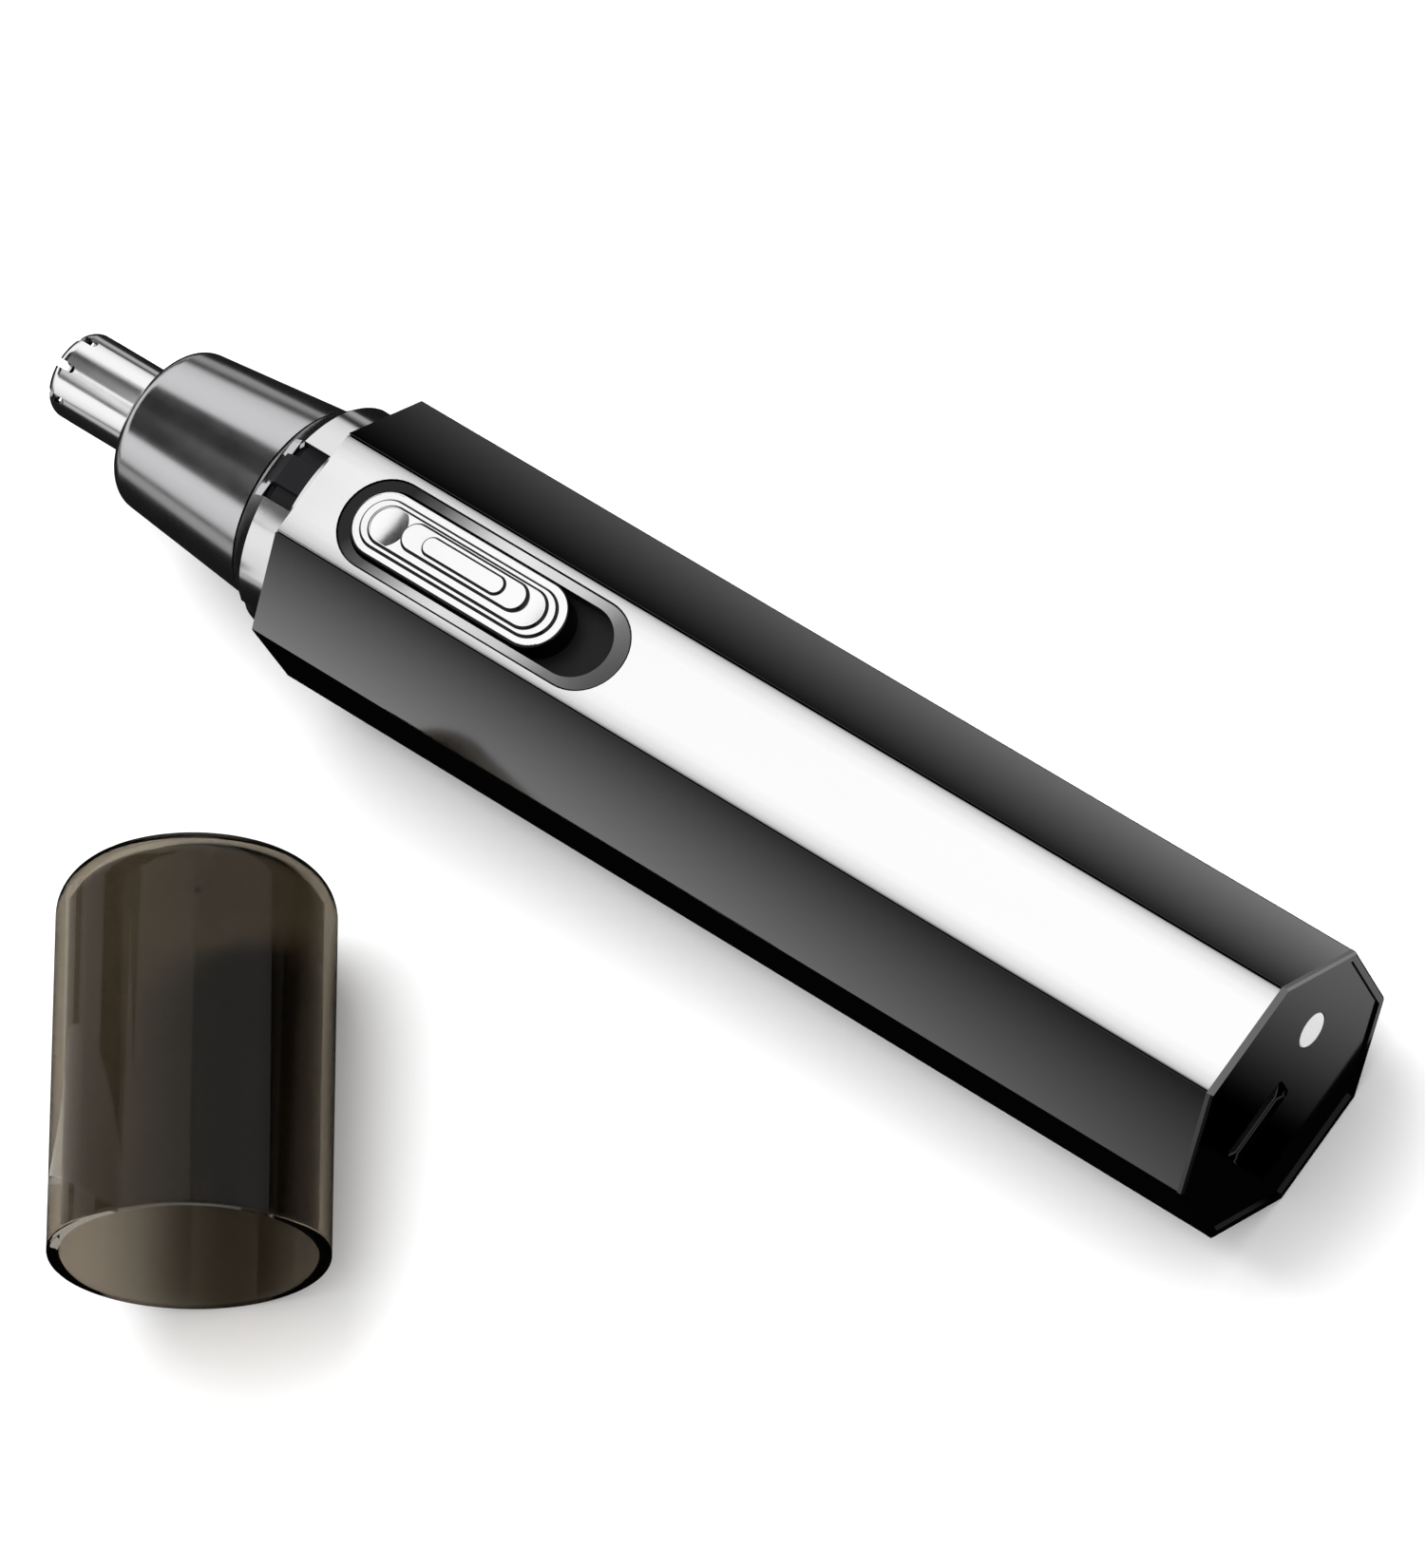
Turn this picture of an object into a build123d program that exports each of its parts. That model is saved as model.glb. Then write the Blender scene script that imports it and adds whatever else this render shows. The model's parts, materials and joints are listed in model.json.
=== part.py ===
from build123d import *
import math
import os

# Battery-powered nose hair trimmer with a removable cutting head and a loose dust cap.
#
# It lies on its flat back with its long axis along +X: charging end at -X, cutting tip at +X,
# switch side up (+Z).  Each piece is drawn about the long axis, with x measured from the outer
# face of the charging end, and export() then drops it onto the surface it lies on (z = 0) with
# the origin at the centre of the flat back.

# ------------------------------------------------------------------ driving dimensions, mm
BODY_LENGTH = 103.0  # charging end to the front shoulder
BODY_WIDTH = 25.0
BODY_DEPTH = 23.0
FLAT_WIDTH = 10.8  # front and back facets
SIDE_HEIGHT = 9.8  # left and right facets
EDGE_ROUND = 0.4
WALL = 1.5
PLATE = 0.8  # silver face plate
PLATE_LIP = 0.06  # housing edge left standing beside the face plate
PLATE_ROUND = 0.35
PLATE_BED = 1.2  # housing wall under the face plate
END_WALL = 2.5
CAP_FLANGE = 0.6

SLOT_CENTRE = 83.75  # switch opening, along the body
BEZEL_CENTRE = 83.5
BEZEL_LENGTH = 31.2
BEZEL_WIDTH = 8.8
BEZEL_GAP = 0.17  # dark line between the bezel and the face plate
BEZEL_SLOPE = 0.12  # fall of the bezel's face from its rim to the slot
BEZEL_DROP = 0.08  # its rim, below the face plate
BEZEL_RIM = 0.06  # level edge left round the slope
SLOT_LENGTH = 28.1
SLOT_WIDTH = 6.9
BUTTON_LENGTH = 23.2
BUTTON_WIDTH = 6.35
BUTTON_PROUD = 0.9
BUTTON_BORDERS = ((21.4, 4.95, 0.25), (19.6, 4.0, 0.5))  # length, width, height of each step
BUTTON_ISLAND = ((13.9, 2.9, 0.24), (9.2, 2.0, 0.46))
BUTTON_ISLAND_SHIFT = (-0.7, -0.25)
BUTTON_BEVEL = 0.24
BUTTON_EDGE = 0.25  # rounding of the pad's lowest step
BUTTON_STEP = 0.5  # lowest step, below the pad's top
DISH_RADIUS, DISH_DEPTH = 16.0, 0.15
DISH_PLACE = 8.2  # middle of each dish, from the middle of the button
LEG_RADIUS = 0.9
BUTTON_LEGS = (-8.0, 8.0)
SWITCH_TRAVEL = 4.5

NECK_RADIUS = 10.85
NECK_CYLINDER = 3.7
NECK_LENGTH = 5.85
NECK_FRONT_RADIUS = 9.4
NECK_BORE = 8.15
WINDOW_WIDTH = 6.0
WINDOW_START, WINDOW_END = 0.75, 5.3  # along the neck
LUG_WIDTH = 2.9
LUG_DROP = 0.22  # lug tops, below the ring's surface

CONE_REAR_RADIUS = 9.25
CONE_FRONT_RADIUS = 7.6
CONE_LENGTH = 16.2
CONE_ROUND = 1.6
CONE_GAP = 0.15
GUARD_RADIUS = 4.1
GUARD_WALL = 0.3
GUARD_LENGTH = 10.9  # standing out of the cone
GUARD_ROUND = 1.2
GUARD_SLOTS = 8
GUARD_SLOT_WIDTH = 0.75
GUARD_SLOT_LENGTH = 2.0
GUARD_SLOT_TURN = 12.0

DUST_CAP_BORE = 10.98
DUST_CAP_WALL = 1.12
DUST_CAP_LENGTH = 35.4
DUST_CAP_ROUND = 4.2
DUST_CAP_PIP = 1.3  # moulding mark inside its closed end
DUST_CAP_PLACE = (33.0, 46.5)  # middle of the lying cap, from the trimmer's origin
DUST_CAP_TURN = -52.6  # heading of its closed end, degrees from +X

BATTERY_RADIUS = 7.1
BATTERY_LENGTH = 43.0
BATTERY_START = 15.6
BATTERY_DROP = 0.8  # its axis below the body's
MOTOR_RADIUS = 7.75
MOTOR_FLAT = 6.0
MOTOR_START = 77.0
MOTOR_LENGTH = 17.5
SHAFT_RADIUS = 0.75
FIT = 0.02  # gap between pieces that are glued or pressed together
RUNNING = 0.05  # gap round what turns or slides

USB_Y, USB_Z = 3.2, 0.6
USB_WIDTH, USB_HEIGHT = 7.5, 2.5
USB_CLEARANCE = 0.1
COIL_PLACE = (10.6, -6.2)
LED_Y, LED_Z = -5.4, 2.6
LED_WINDOW_RADIUS = 1.7
BOARD = 1.0
CHARGE_BOARD_TOP = USB_Z - USB_HEIGHT / 2
SWITCH_BOARD_TOP = 3.0
BOARD_SCREWS = ((66.5, -6.3), (66.5, 6.3))
ACTUATOR_X = 70.5
ACTUATOR_SIZE = 1.6
GUIDE_TOP = 7.85
GUIDE_THICK = 0.8
GUIDE_SCREWS = (61.6, 96.4)
GUIDE_SCREW_Y = 5.2
BOSS_WALL_RADIUS = 1.6
WIRE_RADIUS = 0.45

PANEL_SUNK = 0.25  # charging panel, below the end's rim
PANEL_RIM = 0.75
PANEL_INSIDE = 1.8
PLUG_END = 4.0
USB_START, USB_DEPTH = 0.9, 5.4

SLEEVE_RADIUS = 9.7
SLEEVE_FRONT = 8.7
NECK_SPIGOT = 9.3
SPIGOT_BACK = 4.0

CHASSIS_START, CHASSIS_END = 4.2, 96.2
CHASSIS_INSET = WALL + 0.15
CHASSIS_WALL = 1.4
BOSS_RADIUS = 3.0
CAN_WALL = 0.6
MOTOR_SCREWS = (-5.2, 5.2)
COMMUTATOR_RADIUS = 1.9
COUPLING_START = 97.4
KEY_START, KEY_END = 105.2, 108.6
KEY_WIDTH, KEY_THICK = 2.8, 1.0

SPIGOT_RADIUS = 8.05
SPIGOT_START = BODY_LENGTH + 0.6
SEAL_X = BODY_LENGTH + 3.4
GUARD_FLANGE = 5.4
HEAD_BORE = 6.3
HEAD_REAR_BORE = 6.9
SPINDLE_RADIUS = 1.9
SOCKET_RADIUS = 2.4
SPINDLE_START = BODY_LENGTH + 1.8
RETAINER_START = SPIGOT_START + 1.0
SPRING_RADIUS = 3.1
SPRING_WIRE = 0.24
SPRING_TURNS = 6
BLADE_THICK = 0.5
BLADE_RADIUS = 3.6

# ------------------------------------------------------------------ derived places
HALF_WIDTH = BODY_WIDTH / 2
HALF_DEPTH = BODY_DEPTH / 2
PLATE_SEAT = HALF_DEPTH - PLATE
CAVITY_TOP = PLATE_SEAT - PLATE_BED
NECK_END = BODY_LENGTH + NECK_LENGTH
CONE_START = NECK_END + CONE_GAP
CONE_END = CONE_START + CONE_LENGTH
TIP = CONE_END + GUARD_LENGTH
MOTOR_END = MOTOR_START + MOTOR_LENGTH
BATTERY_END = BATTERY_START + BATTERY_LENGTH
DUST_CAP_RADIUS = DUST_CAP_BORE + DUST_CAP_WALL
SKIRT_LENGTH, SKIRT_WIDTH = SLOT_LENGTH + 1.2, SLOT_WIDTH + 1.2
BUTTON_X = SLOT_CENTRE + (SLOT_LENGTH - BUTTON_LENGTH) / 2 - 0.1
CARRIAGE_TOP = CAVITY_TOP - 0.15
CARRIAGE_BOTTOM = GUIDE_TOP + 0.15
SWITCH_TOP = SWITCH_BOARD_TOP + 3.6
SWITCH_MIDDLE = ACTUATOR_X - SWITCH_TRAVEL / 2
HEAD_BORE_START = CONE_END - 9.0
FRONT_FACE = CONE_END - 1.6
SPRING_START = RETAINER_START + 1.6
SPRING_END = CONE_START + 6.4
BLADE_START = FRONT_FACE + 0.5
REST = Location((-BODY_LENGTH / 2, 0, HALF_DEPTH))


# ------------------------------------------------------------------ shape helpers
def octagon_points(inset=0.0, front=None):
    """Corners (y, z) of the body section, moved in by inset; front lowers the front facet."""
    run = HALF_WIDTH - FLAT_WIDTH / 2
    rise = HALF_DEPTH - SIDE_HEIGHT / 2
    slope = math.hypot(run, rise)
    ny, nz = rise / slope, run / slope
    reach = FLAT_WIDTH / 2 * ny + HALF_DEPTH * nz - inset
    side = HALF_WIDTH - inset
    side_z = (reach - ny * side) / nz
    top = HALF_DEPTH - inset if front is None else front
    bottom = HALF_DEPTH - inset
    top_y = (reach - nz * top) / ny
    bottom_y = (reach - nz * bottom) / ny
    right = [(bottom_y, -bottom), (side, -side_z), (side, side_z), (top_y, top)]
    return right + [(-y, z) for y, z in reversed(right)]


def prism(x0, x1, inset=0.0, front=None):
    """Body-section prism along the long axis."""
    outline = make_face(Polyline(*octagon_points(inset, front), close=True))
    return extrude(Plane.YZ.offset(x0) * outline, amount=x1 - x0)


def rod(radius, x0, x1, y=0.0, z=0.0):
    return Pos(x0, y, z) * Rot(0, 90, 0) * Cylinder(
        radius, x1 - x0, align=(Align.CENTER, Align.CENTER, Align.MIN)
    )


def post(radius, x, y, z0, z1):
    return Pos(x, y, z0) * Cylinder(radius, z1 - z0, align=(Align.CENTER, Align.CENTER, Align.MIN))


def ring(outer, inner, x0, x1, y=0.0, z=0.0):
    return rod(outer, x0, x1, y, z) - rod(inner, x0, x1, y, z)


def block(x0, x1, y0, y1, z0, z1):
    return Pos((x0 + x1) / 2, (y0 + y1) / 2, (z0 + z1) / 2) * Box(x1 - x0, y1 - y0, z1 - z0)


def turned(*points):
    """Solid of revolution about the long axis, from its (x, radius) outline."""
    return revolve(Plane.XZ * make_face(Polyline(*points, close=True)), Axis.X)


def stadium(x, length, width, z0, z1, y=0.0):
    outline = Pos(x, y, z0) * SlotOverall(length, width)
    return extrude(outline, amount=z1 - z0)


def bevelled_stadium(x, length, width, z0, z1, bevel, y=0.0):
    step = stadium(x, length, width, z0, z1, y)
    return chamfer(step.edges().group_by(Axis.Z)[-1], bevel)


def tapered_stadium(low, high, z0, z1):
    """Stadium prism that goes from one (x, length, width) at z0 to another at z1."""
    bottom = Pos(low[0], 0, z0) * SlotOverall(low[1], low[2])
    top = Pos(high[0], 0, z1) * SlotOverall(high[1], high[2])
    return loft([bottom, top])


def around(solid, count):
    """Copies of solid spaced evenly about the long axis, joined."""
    return Compound(children=[Rot(360 * i / count, 0, 0) * solid for i in range(count)])


def screw(x, y, z, length, radius=0.8, head_radius=1.5, head=0.8, up=True):
    """Pan-head screw with a cross slot; its shank goes down from z when up is true."""
    shank = post(radius, x, y, z - length, z)
    top = post(head_radius, x, y, z, z + head)
    top = fillet(top.edges().group_by(Axis.Z)[-1], 0.3)
    cross = block(x - 1, x + 1, y - 0.15, y + 0.15, z + head / 2, z + head)
    cross += block(x - 0.15, x + 0.15, y - 1, y + 1, z + head / 2, z + head)
    made = shank + (top - cross)
    return made if up else Pos(0, 0, 2 * z) * mirror(made, Plane.XY)


def wire(points, bend):
    """Insulated wire along a polyline whose corners are rounded."""
    path = FilletPolyline(*points, radius=bend)
    return sweep((path ^ 0) * Circle(WIRE_RADIUS), path=path)


# ------------------------------------------------------------------ outer body
def plate_bed(x0, x1, inset=0.0):
    """Block that fills the channel cut for the face plate in the front facet."""
    half = FLAT_WIDTH / 2 - PLATE_LIP - inset
    return block(x0, x1, -half, half, PLATE_SEAT, HALF_DEPTH)


def housing():
    shell = prism(CAP_FLANGE, BODY_LENGTH)
    long_edges = [e for e in shell.edges().filter_by(Axis.X) if e.center().Z < HALF_DEPTH - 0.1]
    shell = fillet(long_edges, EDGE_ROUND)
    shell -= plate_bed(CAP_FLANGE, BODY_LENGTH)
    shell -= prism(CAP_FLANGE, BODY_LENGTH - END_WALL, WALL, front=CAVITY_TOP)
    shell -= rod(NECK_SPIGOT + FIT, BODY_LENGTH - END_WALL, BODY_LENGTH)
    shell -= stadium(SLOT_CENTRE, SKIRT_LENGTH + 2 * FIT, SKIRT_WIDTH + 2 * FIT, CAVITY_TOP, PLATE_SEAT)
    for x in GUIDE_SCREWS:
        for y in (-GUIDE_SCREW_Y, GUIDE_SCREW_Y):
            shell += post(BOSS_WALL_RADIUS, x, y, GUIDE_TOP, CAVITY_TOP + 0.3)
            shell -= post(0.64, x, y, GUIDE_TOP, CAVITY_TOP)
    return shell


def front_plate():
    plate = plate_bed(CAP_FLANGE, BODY_LENGTH, FIT)
    crown = [e for e in plate.edges().filter_by(Axis.X) if e.center().Z > HALF_DEPTH - 0.1]
    plate = fillet(crown, PLATE_ROUND)
    return plate - stadium(BEZEL_CENTRE, BEZEL_LENGTH, BEZEL_WIDTH, PLATE_SEAT, HALF_DEPTH)


def switch_bezel():
    top = HALF_DEPTH - BEZEL_DROP
    length, width = BEZEL_LENGTH - 2 * BEZEL_GAP, BEZEL_WIDTH - 2 * BEZEL_GAP
    flange = stadium(BEZEL_CENTRE, length, width, PLATE_SEAT, top)
    skirt = stadium(SLOT_CENTRE, SKIRT_LENGTH, SKIRT_WIDTH, CAVITY_TOP, PLATE_SEAT)
    slope = tapered_stadium(
        (SLOT_CENTRE, SLOT_LENGTH, SLOT_WIDTH),
        (BEZEL_CENTRE, length - 2 * BEZEL_RIM, width - 2 * BEZEL_RIM),
        top - BEZEL_SLOPE,
        top,
    )
    hole = stadium(SLOT_CENTRE, SLOT_LENGTH, SLOT_WIDTH, CAVITY_TOP, top)
    return flange + skirt - slope - hole


def base_cap():
    flange = prism(0, CAP_FLANGE)
    flange = chamfer(flange.edges().group_by(Axis.X)[0], 0.2)
    flange -= prism(0, PANEL_SUNK, PANEL_RIM)
    plug = prism(CAP_FLANGE, PLUG_END, WALL + FIT, front=CAVITY_TOP - FIT)
    plug -= prism(PANEL_INSIDE, PLUG_END, WALL + 1.3, front=CAVITY_TOP - 1.3)
    cap = flange + plug
    width, height = USB_WIDTH + 2 * USB_CLEARANCE, USB_HEIGHT + 2 * USB_CLEARANCE
    opening = Plane.YZ * Pos(USB_Y, USB_Z) * RectangleRounded(width, height, 0.5)
    cap -= extrude(opening, amount=PLUG_END)
    return cap - rod(LED_WINDOW_RADIUS, 0, PLUG_END, LED_Y, LED_Z)


def led_window():
    lens = rod(LED_WINDOW_RADIUS - FIT, PANEL_SUNK, 2.4, LED_Y, LED_Z)
    lens = fillet(lens.edges().group_by(Axis.X)[0], 0.2)
    return lens + rod(LED_WINDOW_RADIUS + 0.5, PANEL_INSIDE, 2.4, LED_Y, LED_Z)


# ------------------------------------------------------------------ neck
def windows():
    """Four windows in the ring; their floor is higher over the ring's front lip."""
    start, end = BODY_LENGTH + WINDOW_START, BODY_LENGTH + WINDOW_END
    half, top, lip = WINDOW_WIDTH / 2, NECK_RADIUS + 1, NECK_END - 0.9
    hole = block(start, lip, -half, half, NECK_BORE + 0.15, top)
    hole += block(lip - 0.1, end, -half, half, SLEEVE_FRONT + 0.1, top)
    return around(hole, 4)


def neck_profile(drop=0.0):
    """Outside of the ring as (x, radius) points, lowered by drop."""
    return (
        (BODY_LENGTH, NECK_RADIUS - drop),
        (BODY_LENGTH + NECK_CYLINDER, NECK_RADIUS - drop),
        (NECK_END - 0.15, NECK_FRONT_RADIUS - drop),
        (NECK_END, NECK_FRONT_RADIUS - 0.2 - drop),
    )


def neck_ring():
    inner = SLEEVE_RADIUS + FIT
    body = turned(
        (BODY_LENGTH, inner),
        *neck_profile(),
        (NECK_END, NECK_BORE),
        (NECK_END - 0.9, NECK_BORE),
        (NECK_END - 0.9, SLEEVE_FRONT),
        (NECK_END - 1.6, inner - 0.6),
        (NECK_END - 2.0, inner),
    )
    return body - windows()


def neck_sleeve():
    sleeve = turned(
        (BODY_LENGTH - SPIGOT_BACK, NECK_BORE),
        (BODY_LENGTH - SPIGOT_BACK, NECK_SPIGOT),
        (BODY_LENGTH, NECK_SPIGOT),
        (BODY_LENGTH, SLEEVE_RADIUS),
        (NECK_END - 2.1, SLEEVE_RADIUS),
        (NECK_END - 1.7, SLEEVE_RADIUS - 0.65),
        (NECK_END - 1.0, SLEEVE_FRONT - FIT),
        (NECK_END - 1.0, NECK_BORE),
    )
    half = LUG_WIDTH / 2
    lug = block(BODY_LENGTH + WINDOW_START + 0.15, NECK_END - 1.05, -half, half, NECK_BORE + 0.25, 12)
    lug &= turned(*neck_profile(LUG_DROP), (NECK_END, 0), (BODY_LENGTH, 0))
    for i in range(4):
        sleeve += Rot(90 * i, 0, 0) * lug
    return sleeve


# ------------------------------------------------------------------ switch
def switch_button():
    """Stepped thumb pad: two low borders round a dished top with a raised two-step island."""
    top = HALF_DEPTH + BUTTON_PROUD
    x = BUTTON_X
    low = top - BUTTON_STEP
    root = low - 0.1
    pad = stadium(x, BUTTON_LENGTH, BUTTON_WIDTH, CARRIAGE_TOP, low)
    pad = fillet(pad.edges().group_by(Axis.Z)[-1], BUTTON_EDGE)
    for length, width, rise in BUTTON_BORDERS:
        pad += bevelled_stadium(x, length, width, root, low + rise, BUTTON_BEVEL)
    for side in (-1, 1):
        scoop = Pos(x + side * DISH_PLACE, 0, top + DISH_RADIUS - DISH_DEPTH) * Sphere(DISH_RADIUS)
        scoop &= stadium(x, BUTTON_BORDERS[1][0] - 0.6, BUTTON_BORDERS[1][1] - 0.6, top - 1, top + 1)
        pad -= scoop
    island_x, island_y = x + BUTTON_ISLAND_SHIFT[0], BUTTON_ISLAND_SHIFT[1]
    for length, width, rise in BUTTON_ISLAND:
        pad += bevelled_stadium(island_x, length, width, root, top + rise, BUTTON_BEVEL, island_y)
    for offset in BUTTON_LEGS:
        pad += post(LEG_RADIUS, x + offset, 0, CARRIAGE_BOTTOM + 0.2, CARRIAGE_TOP)
    return pad


def switch_carriage():
    """Tray under the bezel that joins the button's legs to the switch; its nose fills the slot."""
    back = ACTUATOR_X - 2.5
    shoulder = GUIDE_SCREWS[1] - BOSS_WALL_RADIUS - 0.4
    plate = block(back, shoulder, -4.4, 4.4, CARRIAGE_BOTTOM, CARRIAGE_TOP)
    plate += block(shoulder - 2, BODY_LENGTH - SPIGOT_BACK - 0.6, -3.4, 3.4, CARRIAGE_BOTTOM, CARRIAGE_TOP)
    for offset in BUTTON_LEGS:
        plate -= post(LEG_RADIUS + FIT, BUTTON_X + offset, 0, CARRIAGE_BOTTOM, CARRIAGE_TOP)
    half = ACTUATOR_SIZE / 2 + FIT
    return plate - block(
        ACTUATOR_X - half, ACTUATOR_X + half, -half, half, CARRIAGE_BOTTOM, CARRIAGE_BOTTOM + 0.9
    )


def switch_actuator():
    half = ACTUATOR_SIZE / 2
    knob = block(ACTUATOR_X - half, ACTUATOR_X + half, -half, half, SWITCH_TOP - 1.2, CARRIAGE_BOTTOM + 0.85)
    foot = block(ACTUATOR_X - 1.6, ACTUATOR_X + 1.6, -1.3, 1.3, SWITCH_TOP - 1.6, SWITCH_TOP - 0.7)
    return knob + foot


def slide_switch():
    """Sheet-metal slide switch case; the actuator runs in the slot in its top."""
    half = SWITCH_TRAVEL / 2 + 2.2
    case = block(SWITCH_MIDDLE - half, SWITCH_MIDDLE + half, -2.1, 2.1, SWITCH_BOARD_TOP, SWITCH_TOP)
    reach = SWITCH_TRAVEL / 2 + ACTUATOR_SIZE / 2 + 0.1
    case -= block(SWITCH_MIDDLE - reach, SWITCH_MIDDLE + reach, -0.9, 0.9, SWITCH_TOP - 0.5, SWITCH_TOP)
    reach = SWITCH_TRAVEL / 2 + 1.7
    return case - block(
        SWITCH_MIDDLE - reach, SWITCH_MIDDLE + reach, -1.4, 1.4, SWITCH_TOP - 1.8, SWITCH_TOP - 0.5
    )


def switch_board():
    board = block(61.5, 73.6, -8.0, 8.0, SWITCH_BOARD_TOP - BOARD, SWITCH_BOARD_TOP)
    for x, y in BOARD_SCREWS:
        board -= post(0.9, x, y, SWITCH_BOARD_TOP - BOARD, SWITCH_BOARD_TOP)
    return board


def board_screws():
    return Compound(children=[screw(x, y, SWITCH_BOARD_TOP, 4.2) for x, y in BOARD_SCREWS])


def slider_guide():
    """Plate that holds the carriage up against the housing and leaves the actuator free."""
    bottom = GUIDE_TOP - GUIDE_THICK
    plate = block(59.8, BODY_LENGTH - SPIGOT_BACK - 0.4, -6.9, 6.9, bottom, GUIDE_TOP)
    plate = fillet(plate.edges().filter_by(Axis.Z), 1.5)
    reach = SWITCH_TRAVEL / 2 + 1.6
    plate -= block(SWITCH_MIDDLE - reach, SWITCH_MIDDLE + reach, -1.3, 1.3, bottom, GUIDE_TOP)
    for x in GUIDE_SCREWS:
        for y in (-GUIDE_SCREW_Y, GUIDE_SCREW_Y):
            plate -= post(0.9, x, y, bottom, GUIDE_TOP)
    return plate


def guide_screws():
    made = []
    for x in GUIDE_SCREWS:
        for y in (-GUIDE_SCREW_Y, GUIDE_SCREW_Y):
            made.append(screw(x, y, GUIDE_TOP - GUIDE_THICK, 1.8, 0.62, 1.2, 0.6, up=False))
    return Compound(children=made)


# ------------------------------------------------------------------ chassis, battery, boards
def chassis():
    """Trough with saddles for the battery and motor and posts for the two boards."""
    trough = prism(CHASSIS_START, CHASSIS_END, CHASSIS_INSET)
    trough -= prism(CHASSIS_START, CHASSIS_END, CHASSIS_INSET + CHASSIS_WALL)
    ribs = None
    for x in (17.0, 30.0, 43.0, 56.0):
        rib = prism(x, x + 1.4, CHASSIS_INSET) - rod(BATTERY_RADIUS + RUNNING, x, x + 1.4, 0, -BATTERY_DROP)
        ribs = rib if ribs is None else ribs + rib
    for x in (79.0, 90.0):
        ribs += prism(x, x + 1.4, CHASSIS_INSET) - motor_envelope(x, x + 1.4, RUNNING)
    ribs += prism(60.4, 61.8, CHASSIS_INSET)
    made = (trough + ribs) - block(0, BODY_LENGTH, -20, 20, 0, 20)
    for x in (5.0, 13.2):
        made += prism(x, x + 1.4, CHASSIS_INSET) & block(0, 20, -20, 20, -20, CHARGE_BOARD_TOP - BOARD)
    made -= block(0, 15.2, -20, 20, CHARGE_BOARD_TOP - BOARD, 20)
    for x, y in BOARD_SCREWS:
        stand = post(1.7, x, y, -8.5, SWITCH_BOARD_TOP - BOARD) & prism(60, 80, CHASSIS_INSET)
        made += stand - post(0.8 + FIT, x, y, -3, SWITCH_BOARD_TOP)
    bulkhead = prism(MOTOR_END, CHASSIS_END, CHASSIS_INSET) & block(
        0, BODY_LENGTH, -20, 20, -20, GUIDE_TOP - GUIDE_THICK - 0.7
    )
    bulkhead -= rod(BOSS_RADIUS + FIT, MOTOR_END, CHASSIS_END)
    made += bulkhead
    for y in MOTOR_SCREWS:
        made -= rod(0.8, MOTOR_END - 1, CHASSIS_END, y)
    return made


def battery_cell():
    can = rod(BATTERY_RADIUS, BATTERY_START, BATTERY_END, 0, -BATTERY_DROP)
    can = fillet(can.edges(), 0.5)
    return can - rod(BATTERY_RADIUS - 1.2, BATTERY_END - 0.5, BATTERY_END, 0, -BATTERY_DROP)


def battery_button():
    step = BATTERY_END - 0.5
    button = turned(
        (step, 0), (step, 5.6), (step + 0.35, 5.6), (step + 0.35, 2.75), (step + 1.5, 2.6), (step + 1.5, 0)
    )
    return Pos(0, 0, -BATTERY_DROP) * button


def battery_tabs():
    """Welded nickel strips, one on each end of the cell."""
    z = -BATTERY_DROP
    front = block(BATTERY_END + 1.0, BATTERY_END + 1.15, -1.5, 1.5, z - 2, z + 2)
    rear = block(BATTERY_START - 0.15, BATTERY_START, -1.5, 1.5, z - 3, z + 3)
    return Compound(children=[front, rear])


def charge_board():
    board = block(3.0 + PANEL_INSIDE, 14.8, -8.4, 8.4, CHARGE_BOARD_TOP - BOARD, CHARGE_BOARD_TOP)
    return chamfer(board.edges().filter_by(Axis.Z), 0.5)


def charge_parts():
    """Charger chip, inductor and two small capacitors."""
    z = CHARGE_BOARD_TOP
    chip = block(8.6, 12.4, -3.0, 0.4, z, z + 1.3)
    coil = post(1.9, *COIL_PLACE, z, z + 1.8)
    small = [block(x, x + 1.2, 6.6, 7.6, z, z + 0.7) for x in (8.8, 11.0)]
    return Compound(children=[chip, coil, *small])


def usb_profile(width, height):
    """Micro-B outline: the lower corners are cut off."""
    w, h, cut = width / 2, height / 2, height * 0.36
    points = [(-w, h), (w, h), (w, -h + cut), (w - cut, -h), (-w + cut, -h), (-w, -h + cut)]
    return Plane.YZ * Pos(USB_Y, USB_Z) * make_face(Polyline(*points, close=True))


def usb_shell():
    outer = extrude(usb_profile(USB_WIDTH, USB_HEIGHT), amount=USB_DEPTH)
    inner = extrude(usb_profile(USB_WIDTH - 0.5, USB_HEIGHT - 0.5), amount=USB_DEPTH - 0.6)
    return Pos(USB_START, 0, 0) * (outer - inner)


def usb_tongue():
    x0, x1 = USB_START + 0.7, USB_START + USB_DEPTH - 0.6
    tongue = block(x0, x1, USB_Y - 2.0, USB_Y + 2.0, USB_Z - 0.15, USB_Z + 0.45)
    for i in range(5):
        y = USB_Y + (i - 2) * 0.65
        tongue += block(x0 + 0.4, x1, y - 0.18, y + 0.18, USB_Z - 0.25, USB_Z - 0.1)
    return tongue


def charge_led():
    body = rod(1.5, 2.5, 6.2, LED_Y, LED_Z)
    body = fillet(body.edges().group_by(Axis.X)[0], 0.7)
    body += rod(1.75, 5.4, 6.2, LED_Y, LED_Z)
    for y in (LED_Y - 0.6, LED_Y + 0.6):
        body += block(6.0, 7.4, y - 0.2, y + 0.2, LED_Z - 0.2, LED_Z + 0.2)
        body += block(7.0, 7.4, y - 0.2, y + 0.2, CHARGE_BOARD_TOP, LED_Z + 0.2)
    return body


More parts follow.
